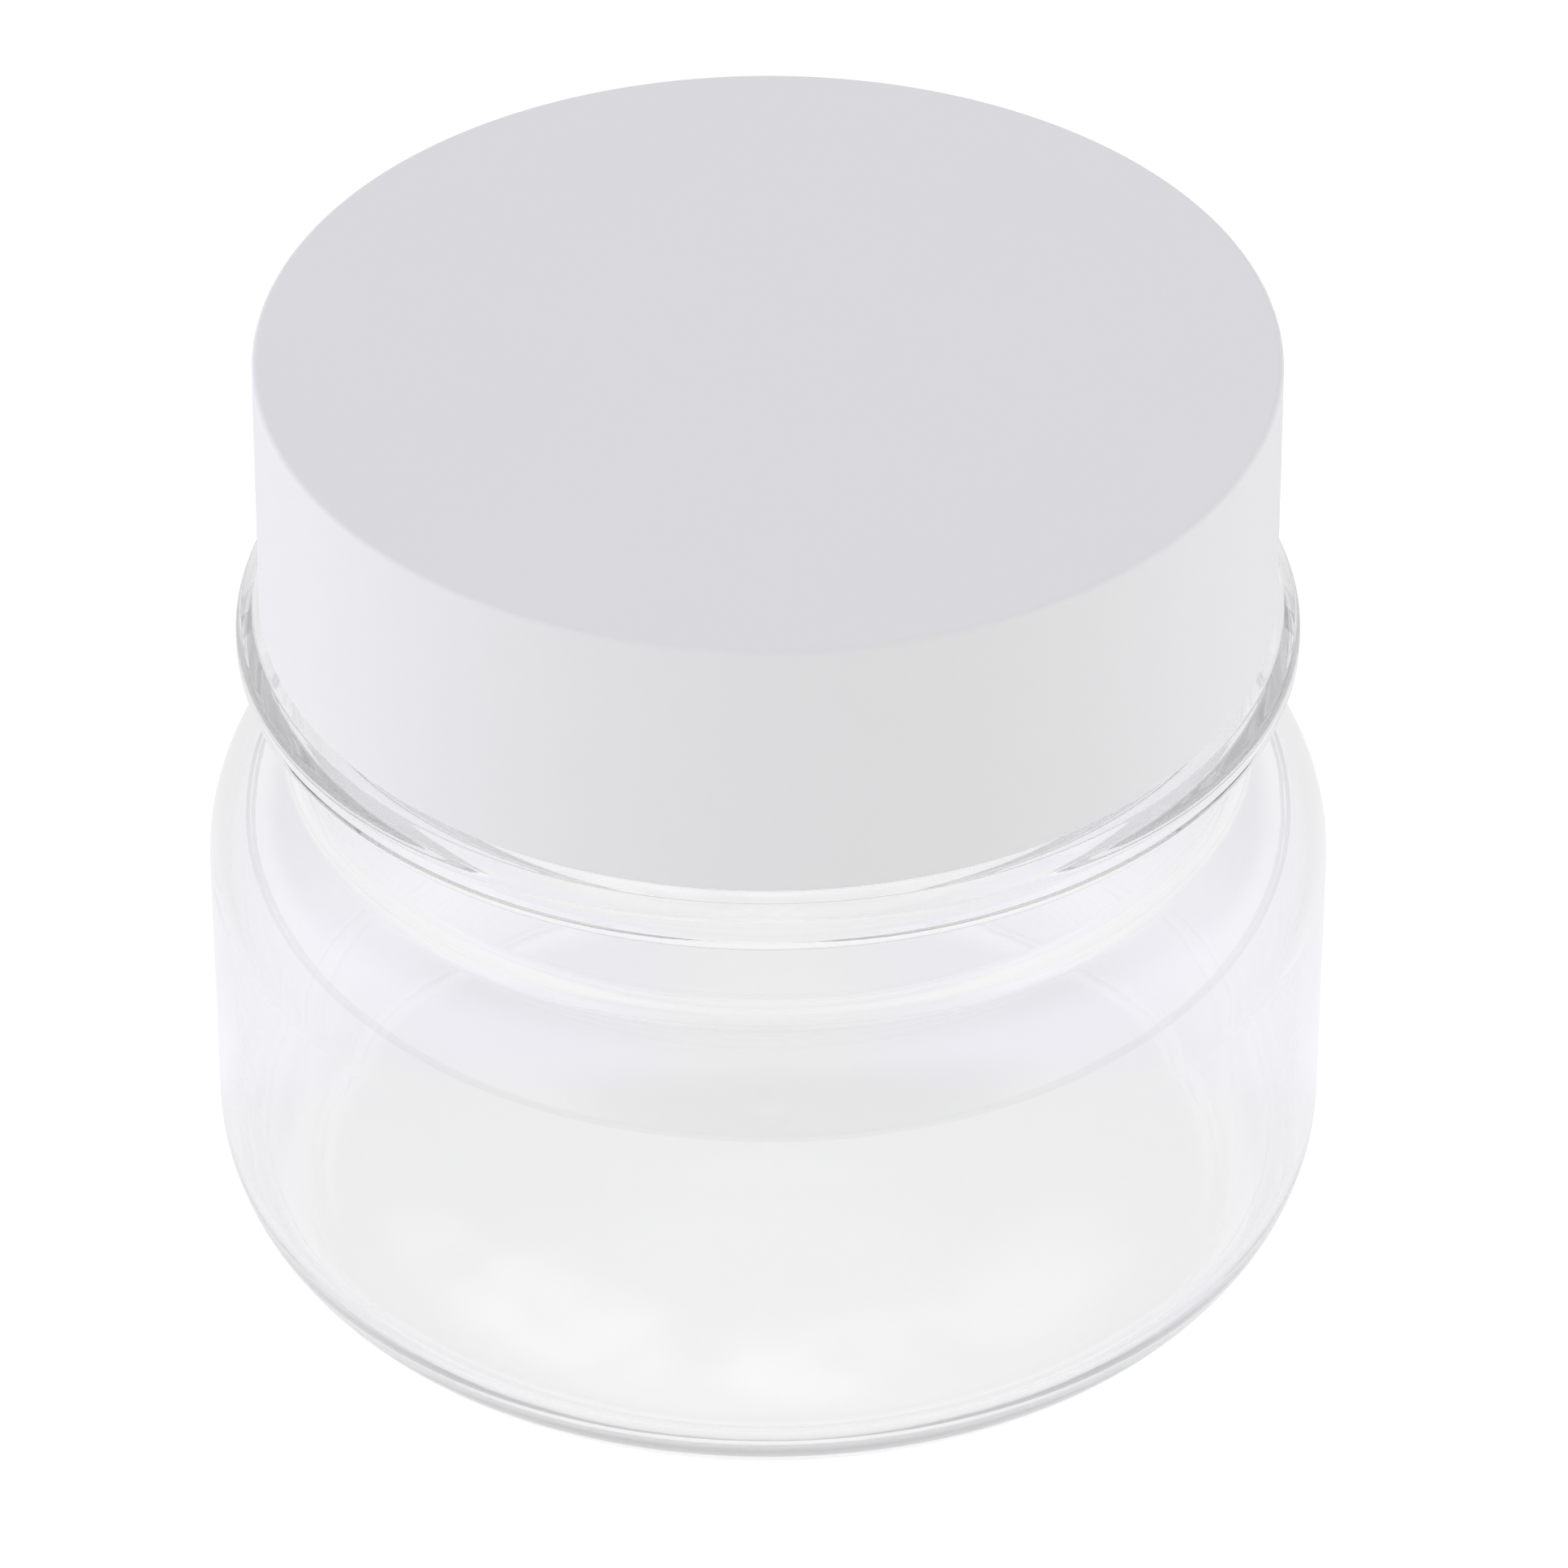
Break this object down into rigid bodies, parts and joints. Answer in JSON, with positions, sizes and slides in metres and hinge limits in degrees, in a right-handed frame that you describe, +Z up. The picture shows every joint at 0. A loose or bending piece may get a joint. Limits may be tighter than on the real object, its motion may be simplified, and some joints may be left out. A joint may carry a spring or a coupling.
{
  "type": "cosmetic jar",
  "caption": "Round wide-mouth clear cosmetic jar with a support flange, a flat smooth white screw lid and a foam liner.",
  "frame": {"origin": "centre of the plane that the jar stands on, on the jar's axis", "axes": "+Z up along the jar's and the lid's common axis; the jar is round, so +X is arbitrary and -Y is taken as the front"},
  "size_m": [0.078, 0.078, 0.0694],
  "materials": {
    "clear_plastic": "clear, smooth and glossy",
    "lid_plastic": "white, smooth, satin",
    "liner_foam": "white closed-cell foam, matte"
  },
  "bodies": {
    "jar": {"jar": "clear_plastic"},
    "liner": {"liner": "liner_foam"},
    "lid": {"lid": "lid_plastic"}
  },
  "joints": [
    {"name": "lid_rise", "type": "slide", "parent": "jar", "child": "liner", "axis": [0, 0, 1], "range_m": [0, 0.019]},
    {"name": "lid_turn", "type": "hinge", "parent": "liner", "child": "lid", "pos_m": [0, 0, 0.04983], "axis": [0, 0, 1], "range_deg": [0, 1620]}
  ],
  "couplings": [
    {"joint": "lid_rise", "follows": "lid_turn", "m_per_rad": 0.00066845}
  ]
}
